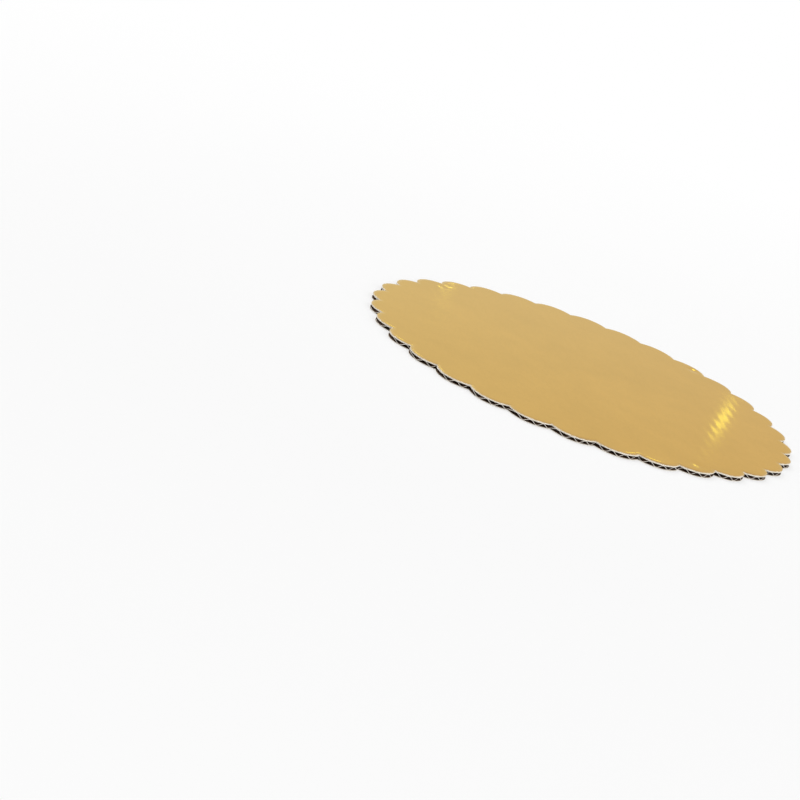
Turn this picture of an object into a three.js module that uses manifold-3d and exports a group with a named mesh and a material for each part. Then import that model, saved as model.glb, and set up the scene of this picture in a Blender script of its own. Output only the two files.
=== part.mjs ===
// Round cake board with a scalloped edge, die cut from single-wall corrugated board with a gold foil face.
// Millimetres. The board lies flat on z = 0 with +Z up, and its flutes run along Y.

import * as THREE from 'three';
import { mergeVertices } from 'three/addons/utils/BufferGeometryUtils.js';
import Module from 'manifold-3d';

// Scalloped outline
const boardDiameter = 228.6;
const lobeCount = 32;
const notchDepth = 4.6;

// Paper and foil
const foilThickness = 0.05;
const topLinerThickness = 0.4;
const bottomLinerThickness = 0.3;
const mediumThickness = 0.25;

// Flutes
const fluteHeight = 2.0;
const flutePitch = 6.35;
const glueFlatWidth = 0.5;
const bendRadius = 0.75;
const firstCrestX = -1.65;

// How finely the arcs are divided
const lobeSegments = 10;
const bendSegments = 2;

// How far the uncut web of medium reaches past the outline, before it is die cut
const webMargin = 2;

const wasm = await Module();
wasm.setup();

// The lobes are arcs bulging outwards between neighbouring notches, and their crowns lie on the board's
// diameter. A notch lies on the X axis, so the outline is symmetrical about X and about Y.
function outlinePoints() {
  const crownRadius = boardDiameter / 2;
  const notchRadius = crownRadius - notchDepth;
  const halfAngle = Math.PI / lobeCount;
  const halfChord = notchRadius * Math.sin(halfAngle);
  const chordDistance = notchRadius * Math.cos(halfAngle);
  const rise = crownRadius - chordDistance;
  const lobeRadius = (halfChord ** 2 + rise ** 2) / (2 * rise);
  const centreDistance = crownRadius - lobeRadius;
  const halfSweep = Math.atan2(halfChord, chordDistance - centreDistance);
  const points = [];
  for (let lobe = 0; lobe < lobeCount; lobe += 1) {
    const angle = (2 * lobe + 1) * halfAngle;
    const centreX = centreDistance * Math.cos(angle);
    const centreY = centreDistance * Math.sin(angle);
    const arc = new THREE.EllipseCurve(
      centreX, centreY, lobeRadius, lobeRadius, angle - halfSweep, angle + halfSweep, false, 0);
    points.push(...arc.getPoints(lobeSegments).slice(0, -1));
  }
  return points;
}

// A flat sheet with the scalloped outline, from z = 0 up to its thickness.
function scallopedSheet(thickness) {
  const outline = new THREE.Shape(outlinePoints());
  return new THREE.ExtrudeGeometry(outline, { depth: thickness, steps: 1, bevelEnabled: false });
}

// The slope of the straight flank between a crest and a trough. The flank is the inner tangent of the
// two bends, which are arcs about centres half a pitch less one glue flat apart.
function flankAngle() {
  const across = flutePitch / 2 - glueFlatWidth;
  const up = fluteHeight - mediumThickness - 2 * bendRadius;
  return Math.atan2(up, across) + Math.asin(2 * bendRadius / Math.hypot(across, up));
}

// The points of one bend on one face of the medium, from left to right. A crest bends over a centre
// below it and a trough over a centre above it. The face is 1 for the upper one and -1 for the lower.
function bendPoints(x, crest, face) {
  const turn = flankAngle();
  const half = mediumThickness / 2;
  const radius = bendRadius + crest * face * half;
  const middle = fluteHeight / 2;
  const centreZ = middle + crest * (middle - half - bendRadius);
  const points = [];
  for (const side of [-1, 1]) {
    for (let step = 0; step <= bendSegments; step += 1) {
      const share = side < 0 ? step / bendSegments - 1 : step / bendSegments;
      const angle = turn * share;
      const pointX = x + side * glueFlatWidth / 2 + radius * Math.sin(angle);
      const pointZ = centreZ + crest * radius * Math.cos(angle);
      points.push(new THREE.Vector2(pointX, pointZ));
    }
  }
  return points;
}

// The section across the whole web of medium: along its upper face and back along its lower face.
function mediumSection() {
  const reach = boardDiameter / 2 + webMargin;
  const halfPitch = flutePitch / 2;
  const firstBend = Math.floor((-reach - firstCrestX) / halfPitch);
  const lastBend = Math.ceil((reach - firstCrestX) / halfPitch);
  const upper = [];
  const lower = [];
  for (let bend = firstBend; bend <= lastBend; bend += 1) {
    const crest = bend % 2 === 0 ? 1 : -1;
    const x = firstCrestX + bend * halfPitch;
    upper.push(...bendPoints(x, crest, 1));
    lower.push(...bendPoints(x, crest, -1));
  }
  return new THREE.Shape([...lower, ...upper.reverse()]);
}

// The web of medium, with its flutes along Y.
function mediumWeb() {
  const length = boardDiameter + 2 * webMargin;
  const web = new THREE.ExtrudeGeometry(mediumSection(), { depth: length, steps: 1, bevelEnabled: false });
  web.rotateX(Math.PI / 2);
  web.translate(0, length / 2, 0);
  return web;
}

// What the die cuts out of the web: the scalloped outline, past both faces of the flutes.
function dieCut() {
  const cut = scallopedSheet(fluteHeight + 2 * webMargin);
  cut.translate(0, 0, -webMargin);
  return cut;
}

function toSolid(geometry) {
  geometry.deleteAttribute('normal');
  geometry.deleteAttribute('uv');
  const merged = mergeVertices(geometry);
  const vertProperties = new Float32Array(merged.attributes.position.array);
  const triVerts = new Uint32Array(merged.index.array);
  return new wasm.Manifold(new wasm.Mesh({ numProp: 3, vertProperties, triVerts }));
}

function toGeometry(solid) {
  const mesh = solid.getMesh();
  const geometry = new THREE.BufferGeometry();
  geometry.setAttribute('position', new THREE.BufferAttribute(mesh.vertProperties, 3));
  geometry.setIndex(new THREE.BufferAttribute(mesh.triVerts, 1));
  return geometry;
}

function flutedMedium() {
  return toGeometry(toSolid(mediumWeb()).intersect(toSolid(dieCut())));
}

function ply(name, geometry, bottomZ, finish) {
  const mesh = new THREE.Mesh(geometry, new THREE.MeshStandardMaterial(finish));
  mesh.name = name;
  mesh.position.z = bottomZ;
  return mesh;
}

const linerPaper = { color: 0xd9cfc2, roughness: 0.9, metalness: 0 };
const mediumPaper = { color: 0xb9a99a, roughness: 0.95, metalness: 0 };
const goldFoil = { color: 0xd2ad6a, roughness: 0.22, metalness: 1 };

// The plies lie face to face, from the bottom up.
const mediumZ = bottomLinerThickness;
const topLinerZ = mediumZ + fluteHeight;
const foilZ = topLinerZ + topLinerThickness;

const board = new THREE.Group();
board.add(ply('bottom_liner', scallopedSheet(bottomLinerThickness), 0, linerPaper));
board.add(ply('fluted_medium', flutedMedium(), mediumZ, mediumPaper));
board.add(ply('top_liner', scallopedSheet(topLinerThickness), topLinerZ, linerPaper));
board.add(ply('gold_foil', scallopedSheet(foilThickness), foilZ, goldFoil));

export default board;
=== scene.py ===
"""A round scalloped cake board of corrugated board with a gold foil face, dressed for rendering."""

import math

import bpy
import numpy as np
from bpy.props import FloatProperty, FloatVectorProperty, IntProperty, PointerProperty
from bpy.types import Operator, Panel, PropertyGroup
from mathutils import Euler, Matrix, Vector
from mathutils.geometry import delaunay_2d_cdt


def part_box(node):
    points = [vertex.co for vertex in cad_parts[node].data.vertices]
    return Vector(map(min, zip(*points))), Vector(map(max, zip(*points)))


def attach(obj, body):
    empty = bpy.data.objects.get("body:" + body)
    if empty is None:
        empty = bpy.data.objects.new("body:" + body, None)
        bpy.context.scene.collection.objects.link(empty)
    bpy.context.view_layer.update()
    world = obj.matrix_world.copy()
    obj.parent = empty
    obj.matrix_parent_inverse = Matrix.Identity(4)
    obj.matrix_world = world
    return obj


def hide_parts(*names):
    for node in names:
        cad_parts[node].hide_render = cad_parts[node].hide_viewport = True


bl_info = {
    "name": "Cake board",
    "version": (1, 0, 0),
    "blender": (4, 5, 0),
    "location": "3D View > Sidebar > Cake Board",
    "description": "Makes a scalloped cake board with a gold foil face, ply by ply",
    "category": "Object",
}

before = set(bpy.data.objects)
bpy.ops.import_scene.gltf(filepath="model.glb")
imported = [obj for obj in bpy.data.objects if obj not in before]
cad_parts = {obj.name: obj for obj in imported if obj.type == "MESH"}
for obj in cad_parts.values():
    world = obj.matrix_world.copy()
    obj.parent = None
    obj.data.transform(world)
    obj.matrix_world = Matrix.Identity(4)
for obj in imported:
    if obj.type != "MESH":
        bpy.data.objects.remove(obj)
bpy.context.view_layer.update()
BODY = "root"

MM = 0.001
BOTTOM_LINER_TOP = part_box("bottom_liner")[1].z
MEDIUM_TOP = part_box("fluted_medium")[1].z
TOP_LINER_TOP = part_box("top_liner")[1].z
FOIL_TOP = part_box("gold_foil")[1].z


class CakeBoardSizes(PropertyGroup):
    """The sizes of the board that a user would change."""

    diameter: FloatProperty(
        name="Diameter", description="Across opposite lobe crowns", default=0.2286, unit="LENGTH")
    lobes: IntProperty(
        name="Lobes", description="Number of round lobes along the edge", default=32)
    notch_depth: FloatProperty(
        name="Notch depth", description="From the crown circle in to the notches", default=0.0046,
        unit="LENGTH")
    cut_inset: FloatProperty(
        name="Cut inset", description="How far the frayed cut stays inside the die line",
        default=0.00007, unit="LENGTH")
    flute_pitch: FloatProperty(
        name="Flute pitch", description="From one crest of the medium to the next", default=0.00635,
        unit="LENGTH")
    first_crest: FloatProperty(
        name="First crest", description="Place of one crest along X", default=-0.00165, unit="LENGTH")
    glue_flat: FloatProperty(
        name="Glue flat", description="Width of the flat on each crest", default=0.0005, unit="LENGTH")
    bend_radius: FloatProperty(
        name="Bend radius", description="Radius of the medium's bends at mid thickness",
        default=0.00075, unit="LENGTH")
    medium_thickness: FloatProperty(
        name="Medium thickness", description="Thickness of the fluted paper", default=0.00025,
        unit="LENGTH")
    press_depth: FloatProperty(
        name="Press depth", description="How far the die pressed the rim down at the cut",
        default=0.00027, unit="LENGTH")
    press_width: FloatProperty(
        name="Press width", description="Width of the pressed rim", default=0.0024, unit="LENGTH")
    ridge_relief: FloatProperty(
        name="Ridge relief", description="How far the faces sink between the glued crests",
        default=0.00001, unit="LENGTH")
    liner_relief: FloatProperty(
        name="Liner relief", description="How far the underside rises between the glued troughs",
        default=0.00006, unit="LENGTH")
    burr: FloatProperty(
        name="Burr", description="How far the knife dragged the top liner down at the cut",
        default=0.00016, unit="LENGTH")
    burr_width: FloatProperty(
        name="Burr width", description="Width of the dragged edge", default=0.0007, unit="LENGTH")
    flute_wander: FloatProperty(
        name="Flute wander", description="How far a flute strays to its side", default=0.00018,
        unit="LENGTH")


class CakeBoardColours(PropertyGroup):
    """The colours of the board's papers and foil."""

    gold: FloatVectorProperty(
        name="Gold", description="Colour that the foil gives to what it mirrors", subtype="COLOR",
        default=(0.64, 0.387, 0.113))
    gold_rim: FloatVectorProperty(
        name="Gold at the rim", description="Colour of the foil where the die pressed it", subtype="COLOR",
        default=(0.66, 0.47, 0.24))
    gold_edge: FloatVectorProperty(
        name="Gold at a slant", description="Tint of the foil's mirror near grazing", subtype="COLOR",
        default=(0.897, 0.853, 0.625))
    liner: FloatVectorProperty(
        name="Liner", description="Underside of the board", subtype="COLOR",
        default=(0.60, 0.44, 0.29))
    liner_cut: FloatVectorProperty(
        name="Liner cut", description="Cut edge of the liners", subtype="COLOR",
        default=(0.93, 0.86, 0.74))
    # The liners' faces towards the flutes: brown paper, darkened further as painted shade of the hollows
    # between the flutes.
    liner_inside_with_shade: FloatVectorProperty(
        name="Liner inside", description="Faces of the liners towards the flutes", subtype="COLOR",
        default=(0.19, 0.115, 0.07))
    # The fluted paper's faces: brown paper, darkened further as painted shade of the hollows between the
    # flutes.
    medium: FloatVectorProperty(
        name="Medium", description="Faces of the fluted paper", subtype="COLOR",
        default=(0.155, 0.09, 0.055))
    medium_cut: FloatVectorProperty(
        name="Medium cut", description="Cut edge of the fluted paper", subtype="COLOR",
        default=(0.94, 0.87, 0.79))


class CakeBoardStudio(PropertyGroup):
    """The light and the camera."""

    lens: FloatProperty(
        name="Lens", description="Focal length in millimetres", default=82.99)
    heading: FloatProperty(
        name="Heading", description="Turn of the optical axis about Z, from +Y",
        default=math.radians(-15.551), subtype="ANGLE")
    dip: FloatProperty(
        name="Dip", description="How far the optical axis points down", default=math.radians(17.457),
        subtype="ANGLE")
    roll: FloatProperty(
        name="Roll", description="Turn of the camera about its own axis", default=math.radians(20.528),
        subtype="ANGLE")
    place: FloatVectorProperty(
        name="Place", description="The camera's place", default=(-0.32424, -0.85912, 0.24132),
        subtype="TRANSLATION", unit="LENGTH")
    room_light: FloatProperty(
        name="Room light", description="Strength of the room on rough surfaces", default=0.45)
    overhead: FloatProperty(
        name="Overhead", description="Brightness of the panel above and behind", default=1.2)
    fill: FloatProperty(
        name="Fill", description="Brightness of the panel in front", default=1.3)
    sheen: FloatProperty(
        name="Sheen", description="Extra brightness that the foil mirrors from above", default=0.25)
    white_from: FloatProperty(
        name="White from", description="Where the floor begins to fade to plain white", default=0.25,
        unit="LENGTH")
    white_at: FloatProperty(
        name="White at", description="Where the floor is plain white", default=0.9, unit="LENGTH")


class DieLine:
    """The scalloped cutting line: arcs that bulge outwards between notches, one notch on the X axis."""

    def __init__(self, sizes):
        self.lobes = sizes.lobes
        self.half_angle = math.pi / sizes.lobes
        crown_radius = sizes.diameter / 2
        self.notch_radius = crown_radius - sizes.notch_depth
        half_chord = self.notch_radius * math.sin(self.half_angle)
        chord_distance = self.notch_radius * math.cos(self.half_angle)
        rise = crown_radius - chord_distance
        full_radius = (half_chord ** 2 + rise ** 2) / (2 * rise)
        self.centre_distance = crown_radius - full_radius
        self.half_sweep = math.atan2(half_chord, chord_distance - self.centre_distance)
        self.lobe_radius = full_radius
        self.cut_inset = sizes.cut_inset

    def ring(self, inset, spacing):
        """Points and inward directions along the line moved inwards by inset, anticlockwise."""
        inset += self.cut_inset
        radius = self.lobe_radius - inset
        lobe_steps = max(4, round(2 * self.half_sweep * radius / spacing))
        turn = 2 * (self.half_angle - self.half_sweep)
        notch_steps = max(1, round(abs(turn) * inset / spacing))
        points = []
        inward = []
        for lobe in range(self.lobes):
            middle = (2 * lobe + 1) * self.half_angle
            centre = self.centre_distance * np.array([math.cos(middle), math.sin(middle)])
            around = middle + np.linspace(-self.half_sweep, self.half_sweep, lobe_steps + 1)
            out = np.stack([np.cos(around), np.sin(around)], 1)
            points.append(centre + radius * out)
            inward.append(-out)
            after = middle + self.half_angle
            notch = self.notch_radius * np.array([math.cos(after), math.sin(after)])
            swing = middle + self.half_sweep + math.pi + turn * np.arange(1, notch_steps) / notch_steps
            inner = np.stack([np.cos(swing), np.sin(swing)], 1)
            points.append(notch + inset * inner)
            inward.append(inner)
        return np.vstack(points), np.vstack(inward)

    def inward(self, x, y):
        """Distance in from the cutting line, for points inside it."""
        folded = np.mod(np.arctan2(y, x), 2 * self.half_angle) - self.half_angle
        distance = np.hypot(x, y)
        along = distance * np.cos(folded)
        across = distance * np.sin(folded)
        from_centre_x = along - self.centre_distance
        from_centre = np.hypot(from_centre_x, across)
        facing_arc = np.abs(np.arctan2(across, from_centre_x)) < self.half_sweep
        notch_x = self.notch_radius * math.cos(self.half_angle)
        notch_y = self.notch_radius * math.sin(self.half_angle)
        to_notch = np.hypot(along - notch_x, np.abs(across) - notch_y)
        return np.where(facing_arc, self.lobe_radius - from_centre, to_notch)


class Unevenness:
    """Smooth random waviness between -1 and 1 over the board, the same on every run."""

    SIDE = 61

    def __init__(self, seed, cell_x, cell_y):
        self.table = np.random.default_rng(seed).uniform(-1, 1, (self.SIDE, self.SIDE))
        self.cell_x = cell_x
        self.cell_y = cell_y

    def at(self, x, y):
        across = x / self.cell_x
        along = y / self.cell_y
        column = np.floor(across).astype(int)
        row = np.floor(along).astype(int)
        u = across - column
        v = along - row
        u = u * u * (3 - 2 * u)
        v = v * v * (3 - 2 * v)
        low = self._corner(column, row) * (1 - u) + self._corner(column + 1, row) * u
        high = self._corner(column, row + 1) * (1 - u) + self._corner(column + 1, row + 1) * u
        return low * (1 - v) + high * v

    def _corner(self, column, row):
        return self.table[np.mod(column, self.SIDE), np.mod(row, self.SIDE)]


# Small dents that handling left in the foil face: place, radius and depth in metres.
DENTS = (
    (0.0857, 0.0652, 0.0030, 0.00027),
    (0.0324, -0.1005, 0.0030, 0.00008),
    (-0.0617, 0.0832, 0.0020, 0.00006),
    (-0.0575, 0.0900, 0.0020, 0.00006),
    (-0.1010, -0.0390, 0.0020, 0.00009),
)

# Rings of points that carry a dent, the points of the first ring, the rings' step as a share of the
# dent's radius, and the gap outside the last ring in steps.
DENT_RINGS = 6
DENT_RING_SIDES = 6
DENT_RING_STEP = 0.38
DENT_GAP = 0.7

# Shares by which the pressing, the relief and the crushed flutes vary over the board.
PRESS_CHANGE = 0.35
RELIEF_CHANGE = 0.4
CRUSH_CHANGE = 1.6

# The share of its thickness that the medium keeps at least, and the points along each of its bends.
LEAST_MEDIUM = 0.8
BEND_POINTS = 9


class BoardForm:
    """How high each paper face lies over the board."""

    def __init__(self, sizes):
        self.sizes = sizes
        self.die = DieLine(sizes)
        self.wander = Unevenness(seed=11, cell_x=0.011, cell_y=0.07)
        self.depth_change = Unevenness(seed=12, cell_x=0.009, cell_y=0.04)
        self.press_change = Unevenness(seed=13, cell_x=0.012, cell_y=0.012)
        self.crush_shift = Unevenness(seed=14, cell_x=0.0045, cell_y=0.0045)
        self.wave_x, self.wave_z = self._wave()

    def _wave(self):
        """The medium's upper face from a crest down to the next trough."""
        s = self.sizes
        half_pitch = s.flute_pitch / 2
        height = MEDIUM_TOP - BOTTOM_LINER_TOP
        half = s.medium_thickness / 2
        across = half_pitch - s.glue_flat
        up = height - s.medium_thickness - 2 * s.bend_radius
        turn = math.atan2(up, across) + math.asin(2 * s.bend_radius / math.hypot(across, up))
        bend = np.linspace(0, turn, BEND_POINTS)
        outer = s.bend_radius + half
        inner = s.bend_radius - half
        crest_x = s.glue_flat / 2 + outer * np.sin(bend)
        crest_z = height - half - s.bend_radius + outer * np.cos(bend)
        trough_x = half_pitch - s.glue_flat / 2 - inner * np.sin(bend[::-1])
        trough_z = half + s.bend_radius - inner * np.cos(bend[::-1])
        wave_x = np.concatenate([[0], crest_x, trough_x, [half_pitch]])
        wave_z = np.concatenate([[height], crest_z, trough_z, [s.medium_thickness]])
        return wave_x, wave_z

    def press(self, x, y):
        """The share by which the die squeezed the board's height, largest at the cut."""
        s = self.sizes
        depth = s.press_depth * (1 + PRESS_CHANGE * self.press_change.at(x, y))
        share = np.clip(1 - self.die.inward(x, y) / s.press_width, 0, 1)
        return depth * share ** 2 / FOIL_TOP

    def from_crest(self, x, y):
        """Distance across the flutes from the nearest crest, with the flutes' wandering."""
        s = self.sizes
        place = x - s.first_crest + s.flute_wander * self.wander.at(x, y)
        return np.abs(np.mod(place + s.flute_pitch / 2, s.flute_pitch) - s.flute_pitch / 2)

    def sag(self, x, y):
        """How far the foil face sinks between the crests that carry it, and in its dents."""
        s = self.sizes
        relief = s.ridge_relief * (1 + RELIEF_CHANGE * self.depth_change.at(x, y))
        sunk = relief * (1 - np.cos(2 * math.pi * self.from_crest(x, y) / s.flute_pitch)) / 2
        for dent_x, dent_y, radius, depth in DENTS:
            sunk += depth * np.exp(-((x - dent_x) ** 2 + (y - dent_y) ** 2) / radius ** 2)
        return sunk

    def squeezed(self, height, x, y):
        """A height as it is once the die has pressed the board there."""
        return height * (1 - self.press(x, y))

    def foil_top(self, x, y):
        return self.squeezed(FOIL_TOP - self.sag(x, y), x, y)

    def foil_bottom(self, x, y):
        return self.squeezed(TOP_LINER_TOP - self.sag(x, y), x, y)

    def top_liner_top(self, x, y):
        return self.foil_bottom(x, y)

    def top_liner_bottom(self, x, y):
        s = self.sizes
        share = np.clip(1 - self.die.inward(x, y) / s.burr_width, 0, 1)
        return self.squeezed(MEDIUM_TOP - self.sag(x, y), x, y) - s.burr * share ** 2

    def medium_place(self, x, y):
        """Distance from the nearest crest, with the flutes pushed about where the die crushed them."""
        s = self.sizes
        inward = np.maximum(self.die.inward(x, y), 0)
        near_cut = np.exp(-inward / s.press_width)
        crushed = CRUSH_CHANGE * s.flute_wander * self.crush_shift.at(x, y) * near_cut
        return np.clip(self.from_crest(x, y) + crushed, 0, s.flute_pitch / 2)

    def medium_top(self, x, y):
        height = BOTTOM_LINER_TOP + np.interp(self.medium_place(x, y), self.wave_x, self.wave_z)
        return np.minimum(self.squeezed(height, x, y), self.top_liner_bottom(x, y))

    def medium_bottom(self, x, y):
        place = self.sizes.flute_pitch / 2 - self.medium_place(x, y)
        height = MEDIUM_TOP - np.interp(place, self.wave_x, self.wave_z)
        least = LEAST_MEDIUM * self.sizes.medium_thickness
        return np.minimum(self.squeezed(height, x, y), self.medium_top(x, y) - least)

    def rise(self, x, y):
        """How far the lower liner lifts between the troughs that hold it down."""
        s = self.sizes
        relief = s.liner_relief * (1 + RELIEF_CHANGE * self.depth_change.at(y, x))
        return relief * (1 + np.cos(2 * math.pi * self.from_crest(x, y) / s.flute_pitch)) / 2

    def bottom_liner_top(self, x, y):
        return self.squeezed(BOTTOM_LINER_TOP + self.rise(x, y), x, y)

    def bottom_liner_bottom(self, x, y):
        return self.rise(x, y) * (1 - self.press(x, y))


# Only triangles inside the edge are kept, and points within this reach, in millimetres, would be merged.
INSIDE_EDGE = 1
MERGE_REACH = 1e-6

# The gap between the lattice and the rings along the cut, as a share of the lattice's step.
LATTICE_GAP = 0.4


class Plan:
    """A plan view of a ply, triangulated: rings along the cut and a lattice in the field."""

    def __init__(self, form, rings, per_flute, step_y):
        loops = [form.die.ring(inset, spacing)[0] for inset, spacing in rings]
        self.inward_way = form.die.ring(*rings[0])[1]
        innermost = rings[-1][0]
        lattice = self._lattice(form, form.sizes.flute_pitch / per_flute, step_y, innermost)
        points = np.vstack([*loops, lattice, *self._bowls(form, innermost)]) / MM
        edge = list(range(len(loops[0])))
        laid = delaunay_2d_cdt([Vector(point) for point in points], [], [edge], INSIDE_EDGE, MERGE_REACH)
        if len(laid[0]) != len(points):
            raise RuntimeError("the plan's points ran together")
        self.points = np.array([tuple(point) for point in laid[0]]) * MM
        self.triangles = np.array(laid[2])
        self.edge_count = len(edge)

    def _lattice(self, form, step_x, step_y, innermost):
        """Points over the field, lined up with the flutes and clear of the rings and the dents."""
        reach = form.sizes.diameter / 2
        columns = np.arange(-reach, reach, step_x) + form.sizes.first_crest % step_x
        rows = np.arange(-reach, reach, step_y)
        x, y = (grid.ravel() for grid in np.meshgrid(columns, rows))
        inside = form.die.inward(x, y) * (np.hypot(x, y) < reach) > innermost + LATTICE_GAP * step_x
        for dent_x, dent_y, radius, _ in DENTS:
            inside &= np.hypot(x - dent_x, y - dent_y) > (DENT_RINGS + DENT_GAP) * DENT_RING_STEP * radius
        return np.stack([x, y], 1)[inside]

    def _bowls(self, form, innermost):
        """The points of each dent, as far as they lie inside the rings along the cut."""
        bowls = []
        for x, y, radius, _ in DENTS:
            points = self._bowl(x, y, radius)
            bowls.append(points[form.die.inward(*points.T) > innermost + DENT_RING_STEP * radius / 2])
        return bowls

    def _bowl(self, x, y, radius):
        """Rings of points about a dent's middle, close enough to give its bowl in every ply."""
        rings = [np.array([[x, y]])]
        for ring in range(1, DENT_RINGS + 1):
            sides = DENT_RING_SIDES * ring
            turn = 2 * math.pi * np.arange(sides) / sides
            distance = ring * DENT_RING_STEP * radius
            rings.append(np.stack([x + distance * np.cos(turn), y + distance * np.sin(turn)], 1))
        return np.vstack(rings)

    def raised(self, height_at):
        """The plan's points in space, at the height that a face has there."""
        return np.stack([*self.points.T, height_at(*self.points.T)], 1)


# Folds sharper than this are shaded as edges.
SHARP_FOLD = math.radians(38)

# The distance from the cut beyond which no finish depends on it.
CUT_REACH = 0.01


def frayed_rows(top, bottom, inward_way, loose):
    """Rows of points down the cut, from the upper face's edge to the lower's, drawn in by loose."""
    rows = []
    for row, drawn_in in enumerate(loose):
        share = row / (len(loose) - 1)
        points = top * (1 - share) + bottom * share
        points[:, :2] += inward_way * drawn_in[:, None]
        rows.append(points)
    return rows


def band_faces(rows):
    """Quads between neighbouring rows of point numbers, closed all round."""
    bands = []
    for above, below in zip(rows[:-1], rows[1:]):
        bands.append(np.stack([above, below, np.roll(below, -1), np.roll(above, -1)], 1))
    return np.vstack(bands)


def closed_mesh(name, form, vertices, upper, lower, walls):
    """The mesh of a sheet, with one material slot each for its upper face, its lower face and its cut."""
    faces = [*upper.tolist(), *lower.tolist(), *walls.tolist()]
    mesh = bpy.data.meshes.new(name)
    mesh.from_pydata(vertices.tolist(), [], faces)
    slots = np.repeat(np.arange(3, dtype=np.int32), (len(upper), len(lower), len(walls)))
    mesh.polygons.foreach_set("material_index", slots)
    mesh.polygons.foreach_set("use_smooth", np.ones(len(faces), dtype=bool))
    inward = form.die.inward(vertices[:, 0], vertices[:, 1])
    attribute = mesh.attributes.new("from_cut", "FLOAT", "POINT")
    attribute.data.foreach_set("value", np.clip(inward, 0, CUT_REACH).astype(np.float32))
    mesh.set_sharp_from_angle(angle=SHARP_FOLD)
    mesh.update()
    return mesh


def shell_mesh(name, form, plans, faces_at, wall_rows, fray, seed):
    """A closed sheet between two faces, upper then lower, with a frayed cut wall."""
    edge = plans[0].edge_count
    loose = np.random.default_rng(seed).uniform(0, 1, (wall_rows + 1, edge)) * fray
    top, bottom = (plan.raised(height_at) for plan, height_at in zip(plans, faces_at))
    wall = frayed_rows(top[:edge], bottom[:edge], plans[0].inward_way, loose)
    top[:edge] = wall[0]
    bottom[:edge] = wall[-1]
    lower_start = len(top)
    wall_start = lower_start + len(bottom)
    ring = np.arange(edge)
    between = [wall_start + edge * row + ring for row in range(wall_rows - 1)]
    walls = band_faces([ring, *between, lower_start + ring])
    vertices = np.vstack([top, bottom, *wall[1:-1]])
    upper = plans[0].triangles
    lower = plans[1].triangles[:, ::-1] + lower_start
    return closed_mesh(name, form, vertices, upper, lower, walls)


class Value:
    """A shader socket on which Python's signs add Math nodes."""

    def __init__(self, finish, socket):
        self.finish = finish
        self.socket = socket

    def _maths(self, operation, *terms):
        return self.finish.value("ShaderNodeMath", {"operation": operation}, *terms)

    def __add__(self, other):
        return self._maths("ADD", self, other)

    __radd__ = __add__

    def __sub__(self, other):
        return self._maths("SUBTRACT", self, other)

    def __rsub__(self, other):
        return self._maths("SUBTRACT", other, self)

    def __mul__(self, other):
        return self._maths("MULTIPLY", self, other)

    __rmul__ = __mul__


class Finish:
    """One material or world, and the one way in which nodes are added to it."""

    # The Mix node has sockets for numbers, vectors and colours under the same names: these are its
    # factor, its two colours and its mixed colour.
    MIX_FACTOR = 0
    MIX_COLOURS = (6, 7)
    MIX_RESULT = 2

    def __init__(self, tree):
        self.tree = tree
        tree.nodes.clear()

    def node(self, kind, settings=None, *inputs, **named):
        """A new node: its settings are made first, then its sockets are fed in order or by name."""
        made = self.tree.nodes.new(kind)
        for key, setting in (settings or {}).items():
            setattr(made, key, setting)
        for socket, given in zip(made.inputs, inputs):
            self._feed(socket, given)
        for key, given in named.items():
            self._feed(made.inputs[key.replace("_", " ")], given)
        return made

    def value(self, kind, settings=None, *inputs, output=0, **named):
        """What a new node gives: its first output, or the one that is named."""
        return Value(self, self.node(kind, settings, *inputs, **named).outputs[output])

    def _feed(self, socket, given):
        if isinstance(given, Value):
            self.tree.links.new(given.socket, socket)
        else:
            colour = socket.type == "RGBA" and len(given) == 3
            socket.default_value = (*given, 1) if colour else given

    def place(self):
        return self.value("ShaderNodeTexCoord", output="Object")

    def stretched(self, vector, scale):
        return self.value("ShaderNodeVectorMath", {"operation": "MULTIPLY"}, vector, scale)

    def noise(self, vector, scale, detail=2.0, roughness=0.5):
        return self.value(
            "ShaderNodeTexNoise", {"noise_dimensions": "3D"}, Vector=vector, Scale=scale, Detail=detail,
            Roughness=roughness)

    def attribute(self, name):
        return self.value("ShaderNodeAttribute", {"attribute_name": name}, output="Fac")

    def between(self, value, start, end):
        """0 at the start, 1 at the end, even in between and level beyond."""
        return self.value("ShaderNodeMapRange", {"clamp": True}, value, start, end)

    def mix(self, factor, first, second):
        made = self.node("ShaderNodeMix", {"data_type": "RGBA"})
        self._feed(made.inputs[self.MIX_FACTOR], factor)
        for index, colour in zip(self.MIX_COLOURS, (first, second)):
            self._feed(made.inputs[index], colour)
        return Value(self, made.outputs[self.MIX_RESULT])

    def toned(self, factor, colour, dark, light):
        """A colour that runs from a darker to a lighter shade of itself with the factor."""
        return self.mix(factor, shade(colour, dark), shade(colour, light))

    def bump(self, height, distance):
        return self.value("ShaderNodeBump", None, Strength=1.0, Distance=distance, Height=height)

    def surface(self, **sockets):
        shader = self.value("ShaderNodeBsdfPrincipled", None, **sockets)
        self.node("ShaderNodeOutputMaterial", None, shader)


def new_material(name):
    material = bpy.data.materials.new(name)
    material.use_nodes = True
    return material, Finish(material.node_tree)


def shade(colour, factor):
    return tuple(min(1, part * factor) for part in colour)


# Distances from the cut, in metres, at which the foil begins to be worn or pressed and is fully so.
WORN_BAND = (0.0008, 0.0001)
PRESSED_BAND = (0.0022, 0.0002)

# Depth of the finest relief on the foil, the papers and their cut edges, in metres.
FOIL_GRAIN = 0.0000008
PAPER_GRAIN = 0.00002
CUT_GRAIN = 0.00004


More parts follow.
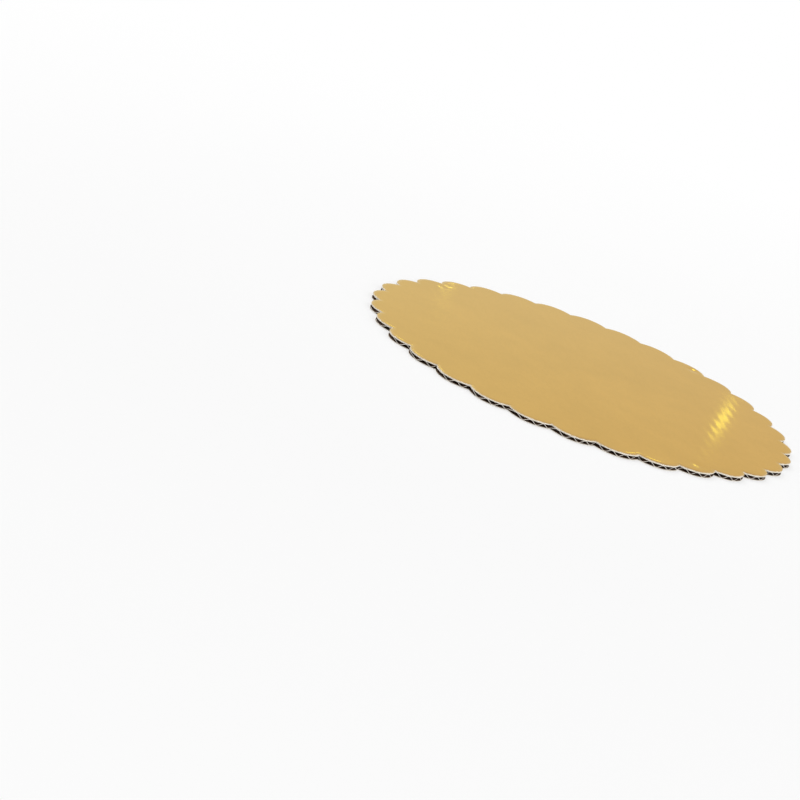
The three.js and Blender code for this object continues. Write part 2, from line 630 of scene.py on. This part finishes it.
def gold_foil_material(colours):
    """Lacquered metal film on paper: a soft mirror with the paper's grain showing through."""
    material, finish = new_material("gold_foil")
    place = finish.place()
    clouds = finish.noise(place, scale=16, detail=3)
    mottle = finish.noise(place, scale=70)
    grain = finish.noise(finish.stretched(place, (1, 0.35, 1)), scale=900, detail=3, roughness=0.6)
    flaking = finish.between(finish.noise(place, scale=700), 0.46, 0.66)
    from_cut = finish.attribute("from_cut")
    worn = finish.between(from_cut, *WORN_BAND) * flaking
    rim = finish.between(from_cut, *PRESSED_BAND)
    body = finish.toned(0.45 * clouds + 0.25 * mottle + 0.3 * grain, colours.gold, dark=0.82, light=1.18)
    pressed = finish.mix(0.8 * rim, body, tuple(colours.gold_rim))
    colour = finish.mix(worn, pressed, tuple(colours.liner_cut))
    roughness = 0.05 + 0.03 * clouds + 0.02 * grain + 0.2 * rim + 0.3 * worn
    relief = finish.bump(grain, FOIL_GRAIN)
    finish.surface(
        Base_Color=colour, Metallic=1 - worn, Roughness=roughness, Normal=relief,
        Specular_Tint=tuple(colours.gold_edge))
    return material


def paper_material(name, colour, dark, fibre_scale):
    """Plain paper: matted fibres, a little uneven in tone, with small darker flecks."""
    material, finish = new_material(name)
    place = finish.place()
    clouds = finish.noise(place, scale=60, detail=3)
    fibres = finish.noise(finish.stretched(place, (1, 0.25, 1)), fibre_scale, detail=4, roughness=0.65)
    flecks = finish.between(finish.noise(place, fibre_scale * 0.6), 0.66, 0.74)
    tone = finish.toned(0.35 * clouds + 0.65 * fibres, colour, dark, light=1.06)
    flecked = finish.mix(0.45 * flecks, tone, shade(colour, 0.55))
    relief = finish.bump(fibres, PAPER_GRAIN)
    finish.surface(Base_Color=flecked, Roughness=0.82 + 0.15 * fibres, Normal=relief, Specular_IOR_Level=0.25)
    return material


def cut_material(name, colour, dark):
    """The cut edge of a paper: torn fibres in thin layers."""
    material, finish = new_material(name)
    place = finish.place()
    layers = finish.noise(finish.stretched(place, (1, 1, 6)), scale=1800, detail=3, roughness=0.7)
    clumps = finish.noise(place, scale=500, detail=3, roughness=0.6)
    tone = finish.toned(0.5 * layers + 0.5 * clumps, colour, dark, light=1.08)
    relief = finish.bump(layers, CUT_GRAIN)
    finish.surface(Base_Color=tone, Roughness=0.95, Normal=relief, Specular_IOR_Level=0.2)
    return material


def put_on_board(node, mesh, materials):
    """Places a ply's mesh as a piece that stands for its node."""
    piece = bpy.data.objects.new(node + "_sheet", mesh)
    bpy.context.scene.collection.objects.link(piece)
    for material in materials:
        mesh.materials.append(material)
    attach(piece, BODY)
    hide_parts(node)


# Rings of points along the cut: how far inside it, and how far apart the points of a ring are.
FINE_RINGS = (
    (0, 0.0004),
    (0.0002, 0.0004),
    (0.0005, 0.0005),
    (0.0009, 0.0005),
    (0.0014, 0.0006),
    (0.002, 0.0008),
    (0.003, 0.0012),
)
PLAIN_RINGS = (
    (0, 0.0004),
    (0.0004, 0.0006),
    (0.001, 0.0008),
    (0.002, 0.0012),
    (0.0035, 0.002),
)

# How fine the paper's fibres are, on the liners and on the medium.
LINER_FIBRES = 1100
MEDIUM_FIBRES = 1300


class CAKEBOARD_OT_bottom_liner(Operator):
    """Makes the flat lower paper"""

    bl_idname = "cake_board.bottom_liner"
    bl_label = "Bottom liner"

    def execute(self, context):
        form = BoardForm(context.scene.cake_board_sizes)
        colours = context.scene.cake_board_colours
        inside = Plan(form, PLAIN_RINGS, per_flute=4, step_y=0.006)
        underside = Plan(form, FINE_RINGS, per_flute=8, step_y=0.003)
        mesh = shell_mesh(
            "bottom_liner_sheet", form, (inside, underside),
            (form.bottom_liner_top, form.bottom_liner_bottom), wall_rows=2, fray=0.06 * MM, seed=21)
        materials = (
            # The lower liner's face towards the flutes is darkened as painted shade of the hollows between
            # the flutes.
            paper_material("bottom_liner_inside", colours.liner_inside_with_shade, dark=0.85, fibre_scale=LINER_FIBRES),
            paper_material("bottom_liner_underside", colours.liner, dark=0.9, fibre_scale=LINER_FIBRES),
            cut_material("bottom_liner_cut", shade(colours.liner_cut, 0.98), dark=0.85),
        )
        put_on_board("bottom_liner", mesh, materials)
        return {"FINISHED"}


class CAKEBOARD_OT_fluted_medium(Operator):
    """Makes the fluted paper between the liners"""

    bl_idname = "cake_board.fluted_medium"
    bl_label = "Fluted medium"

    def execute(self, context):
        form = BoardForm(context.scene.cake_board_sizes)
        colours = context.scene.cake_board_colours
        plan = Plan(form, FINE_RINGS, per_flute=16, step_y=0.012)
        mesh = shell_mesh(
            "fluted_medium_sheet", form, (plan, plan),
            (form.medium_top, form.medium_bottom), wall_rows=1, fray=0.08 * MM, seed=22)
        # The medium's faces are darkened as painted shade of the hollows between the flutes.
        face = paper_material("medium_face_and_shade", colours.medium, dark=0.8, fibre_scale=MEDIUM_FIBRES)
        cut = cut_material("medium_cut", colours.medium_cut, dark=0.8)
        put_on_board("fluted_medium", mesh, (face, face, cut))
        return {"FINISHED"}


class CAKEBOARD_OT_top_liner(Operator):
    """Makes the flat upper paper that carries the foil"""

    bl_idname = "cake_board.top_liner"
    bl_label = "Top liner"

    def execute(self, context):
        form = BoardForm(context.scene.cake_board_sizes)
        colours = context.scene.cake_board_colours
        plan = Plan(form, PLAIN_RINGS, per_flute=4, step_y=0.006)
        mesh = shell_mesh(
            "top_liner_sheet", form, (plan, plan),
            (form.top_liner_top, form.top_liner_bottom), wall_rows=2, fray=0.04 * MM, seed=23)
        # These faces carry painted shade: they are darker than the paper, for the hollows between the flutes.
        face = paper_material("top_liner_inside", colours.liner_inside_with_shade, dark=0.85, fibre_scale=LINER_FIBRES)
        cut = cut_material("top_liner_cut", colours.liner_cut, dark=0.9)
        put_on_board("top_liner", mesh, (face, face, cut))
        return {"FINISHED"}


class CAKEBOARD_OT_gold_foil(Operator):
    """Makes the gold foil face"""

    bl_idname = "cake_board.gold_foil"
    bl_label = "Gold foil"

    def execute(self, context):
        form = BoardForm(context.scene.cake_board_sizes)
        colours = context.scene.cake_board_colours
        face = Plan(form, FINE_RINGS, per_flute=9, step_y=0.0016)
        back = Plan(form, PLAIN_RINGS, per_flute=4, step_y=0.006)
        mesh = shell_mesh(
            "gold_foil_sheet", form, (face, back),
            (form.foil_top, form.foil_bottom), wall_rows=1, fray=0.02 * MM, seed=24)
        cut = cut_material("foil_cut", colours.liner_cut, dark=0.85)
        put_on_board("gold_foil", mesh, (gold_foil_material(colours), cut, cut))
        return {"FINISHED"}


WHITE = (1, 1, 1)

# The soft panels, one above and behind the board and one in front: place, then width and height.
HIGH_PANEL_PLACE = (-0.35, 0.95, 1.45)
HIGH_PANEL_SIZE = (2.6, 2.4)
FRONT_PANEL_PLACE = (1.0, -1.45, 0.95)
FRONT_PANEL_SIZE = (2.6, 1.6)
SHEEN_COLOUR = (0.5, 1, 0.2)

# Small far lamps that the foil mirrors as glints: name, place, width and height, and brightness.
GLINT_LAMPS = (
    ("glint_lamp_right", (1.113, 2.173, 0.621), (0.014, 0.035), 2.1),
    ("glint_lamp_left", (0.617, 2.482, 0.563), (0.014, 0.035), 2.4),
    ("glint_lamp_high", (0.412, 2.209, 0.96), (0.07, 0.14), 1.8),
    ("glint_lamp_dent", (1.018, 2.168, 0.862), (0.05, 0.06), 2.2),
)
GLINT_COLOUR = (0.82, 1.0, 0.12)

# The floor: its reach each way, its two tones, and how much plain white shows near the board.
FLOOR_REACH = 12.0
FLOOR_TONES = ((0.93, 0.93, 0.93), (0.95, 0.95, 0.95))
NEAR_WHITE = 0.55

# The room that the foil mirrors has white walls, warmer on the right, and a ceiling with grey patches.
# The spans are along the mirrored direction's X and Z, and over the patches' noise.
WARM_WALL = (0.935, 0.87, 0.79)
WARM_SPAN = (0.22, 0.46)
CEILING_SPAN = (0.38, 0.7)
PATCH_COLOUR = (0.6, 0.58, 0.55)
PATCH_SCALE = 3.2
PATCH_SPAN = (0.38, 0.56)

# The camera's sensor in millimetres, and the nearest distance that it sees.
SENSOR_WIDTH = 36
CLIP_START = 0.01


def add_lamp(name, place, size, brightness, colour=WHITE, mirrored=True):
    """A flat lamp that faces the board, whose own face has the given brightness, where 1 is white."""
    width, height = size
    lamp = bpy.data.lights.new(name, "AREA")
    lamp.shape = "RECTANGLE"
    lamp.size = width
    lamp.size_y = height
    lamp.color = colour
    lamp.energy = brightness * math.pi * width * height
    holder = bpy.data.objects.new(name, lamp)
    holder.location = place
    holder.rotation_euler = (-Vector(place)).to_track_quat("-Z", "Y").to_euler()
    holder.visible_glossy = mirrored
    bpy.context.scene.collection.objects.link(holder)


def white_where_seen(finish):
    """1 for what the camera sees, straight or mirrored, and 0 for the light on rough surfaces."""
    path = finish.node("ShaderNodeLightPath")
    seen = Value(finish, path.outputs["Is Camera Ray"])
    mirrored = Value(finish, path.outputs["Is Glossy Ray"])
    through = Value(finish, path.outputs["Is Transmission Ray"])
    return finish.value("ShaderNodeMath", {"operation": "ADD", "use_clamp": True}, seen + mirrored, through)


def floor_material(studio):
    """Pale paper that keeps the shadow near the object and is plain white farther out."""
    material, finish = new_material("studio_floor")
    place = finish.place()
    clouds = finish.noise(place, scale=3)
    matt = finish.value("ShaderNodeBsdfDiffuse", None, finish.mix(clouds, *FLOOR_TONES))
    glow = finish.value("ShaderNodeEmission", None, WHITE, 1.0)
    distance = finish.value("ShaderNodeVectorMath", {"operation": "LENGTH"}, place, output="Value")
    far = finish.between(distance, studio.white_from, studio.white_at)
    share = (NEAR_WHITE + (1 - NEAR_WHITE) * far) * white_where_seen(finish)
    mixed = finish.value("ShaderNodeMixShader", None, share, matt, glow)
    finish.node("ShaderNodeOutputMaterial", None, mixed)
    return material


class CAKEBOARD_OT_stage(Operator):
    """Makes the floor, the light and the camera"""

    bl_idname = "cake_board.stage"
    bl_label = "Stage"

    def execute(self, context):
        studio = context.scene.cake_board_studio
        self.make_floor(studio)
        self.make_world(studio)
        add_lamp("overhead_panel", HIGH_PANEL_PLACE, HIGH_PANEL_SIZE, studio.overhead, mirrored=False)
        add_lamp("front_panel", FRONT_PANEL_PLACE, FRONT_PANEL_SIZE, studio.fill, mirrored=False)
        add_lamp("sheen_panel", HIGH_PANEL_PLACE, HIGH_PANEL_SIZE, studio.sheen, SHEEN_COLOUR)
        for glint_lamp in GLINT_LAMPS:
            add_lamp(*glint_lamp, GLINT_COLOUR)
        self.make_camera(context.scene, studio)
        context.scene.view_settings.view_transform = "Standard"
        return {"FINISHED"}

    def make_floor(self, studio):
        reach = FLOOR_REACH
        mesh = bpy.data.meshes.new("studio_floor")
        corners = [(-reach, -reach, 0), (reach, -reach, 0), (reach, reach, 0), (-reach, reach, 0)]
        mesh.from_pydata(corners, [], [(0, 1, 2, 3)])
        floor = bpy.data.objects.new("studio_floor", mesh)
        bpy.context.scene.collection.objects.link(floor)
        mesh.materials.append(floor_material(studio))

    def make_world(self, studio):
        world = bpy.data.worlds.new("studio_room")
        bpy.context.scene.world = world
        world.use_nodes = True
        finish = Finish(world.node_tree)
        strength = studio.room_light + (1 - studio.room_light) * white_where_seen(finish)
        direction = finish.value("ShaderNodeTexCoord", output="Generated")
        parts = finish.node("ShaderNodeSeparateXYZ", None, direction)
        rightward = Value(finish, parts.outputs["X"])
        upward = Value(finish, parts.outputs["Z"])
        mirrored = Value(finish, finish.node("ShaderNodeLightPath").outputs["Is Glossy Ray"])
        walls = finish.mix(finish.between(rightward, *WARM_SPAN), WHITE, WARM_WALL)
        patches = finish.between(finish.noise(direction, PATCH_SCALE, detail=1), *PATCH_SPAN)
        ceiling = finish.mix(patches, PATCH_COLOUR, WHITE)
        room = finish.mix(finish.between(upward, *CEILING_SPAN), walls, ceiling)
        colour = finish.mix(mirrored, WHITE, room)
        ground = finish.value("ShaderNodeBackground", None, colour, strength)
        finish.node("ShaderNodeOutputWorld", None, ground)

    def make_camera(self, scene, studio):
        camera = bpy.data.cameras.new("photo_view")
        camera.sensor_width = SENSOR_WIDTH
        camera.lens = studio.lens
        camera.clip_start = CLIP_START
        holder = bpy.data.objects.new("photo_view", camera)
        level = Euler((math.pi / 2 - studio.dip, 0, studio.heading)).to_matrix()
        turned = level @ Matrix.Rotation(studio.roll, 3, "Z")
        holder.location = studio.place
        holder.rotation_euler = turned.to_euler()
        scene.collection.objects.link(holder)
        scene.camera = holder


PIECES = (
    CAKEBOARD_OT_bottom_liner,
    CAKEBOARD_OT_fluted_medium,
    CAKEBOARD_OT_top_liner,
    CAKEBOARD_OT_gold_foil,
    CAKEBOARD_OT_stage,
)


class CAKEBOARD_PT_sidebar(Panel):
    """Lists the pieces of the cake board"""

    bl_label = "Cake Board"
    bl_idname = "CAKEBOARD_PT_sidebar"
    bl_space_type = "VIEW_3D"
    bl_region_type = "UI"
    bl_category = "Cake Board"

    def draw(self, context):
        for piece in PIECES:
            self.layout.operator(piece.bl_idname)


GROUPS = {
    "cake_board_sizes": CakeBoardSizes,
    "cake_board_colours": CakeBoardColours,
    "cake_board_studio": CakeBoardStudio,
}


def register():
    for group in GROUPS.values():
        bpy.utils.register_class(group)
    for name, group in GROUPS.items():
        setattr(bpy.types.Scene, name, PointerProperty(type=group))
    for piece in PIECES:
        bpy.utils.register_class(piece)
    bpy.utils.register_class(CAKEBOARD_PT_sidebar)


def unregister():
    bpy.utils.unregister_class(CAKEBOARD_PT_sidebar)
    for piece in reversed(PIECES):
        bpy.utils.unregister_class(piece)
    for name, group in reversed(GROUPS.items()):
        delattr(bpy.types.Scene, name)
        bpy.utils.unregister_class(group)


def main():
    register()
    bpy.ops.cake_board.stage()
    bpy.ops.cake_board.bottom_liner()
    bpy.ops.cake_board.fluted_medium()
    bpy.ops.cake_board.top_liner()
    bpy.ops.cake_board.gold_foil()


if __name__ == "__main__":
    main()
